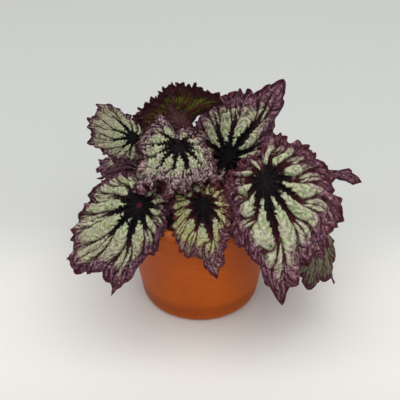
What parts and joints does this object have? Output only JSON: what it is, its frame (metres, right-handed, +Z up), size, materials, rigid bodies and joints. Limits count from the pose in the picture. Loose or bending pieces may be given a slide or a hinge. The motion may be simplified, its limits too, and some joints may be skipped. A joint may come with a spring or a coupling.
{
  "type": "potted rex begonia",
  "caption": "Potted rex begonia: ruffled silver and purple-black heart-shaped leaves on short stalks above a plain terracotta-coloured plastic pot.",
  "frame": {"origin": "centre of the pot's flat underside", "axes": "+Z up along the pot's axis, -Y to the front, where the biggest leaves hang over the rim"},
  "size_m": [0.2558, 0.2246, 0.2047],
  "materials": {
    "blade": "satin, slightly waxy leaf",
    "stalk": "matte, covered in short hairs",
    "rootstock": "matte, scarred and corky",
    "potting_mix": "matte, crumbly",
    "pot": "satin"
  },
  "bodies": {
    "root": {"blade_front_left": "blade", "stalk_front_left": "stalk", "blade_front_middle": "blade", "stalk_front_middle": "stalk", "blade_front_right": "blade", "stalk_front_right": "stalk", "blade_crown": "blade", "stalk_crown": "stalk", "blade_upper_left": "blade", "stalk_upper_left": "stalk", "blade_upper_back": "blade", "stalk_upper_back": "stalk", "blade_upper_right": "blade", "stalk_upper_right": "stalk", "blade_right_side": "blade", "stalk_right_side": "stalk", "blade_right_low": "blade", "stalk_right_low": "stalk", "blade_left_side": "blade", "stalk_left_side": "stalk", "blade_back_left": "blade", "stalk_back_left": "stalk", "blade_back_middle": "blade", "stalk_back_middle": "stalk", "blade_back_right": "blade", "stalk_back_right": "stalk", "blade_young": "blade", "stalk_young": "stalk", "rootstock": "rootstock", "potting_mix": "potting_mix", "pot": "pot"}
  },
  "joints": []
}
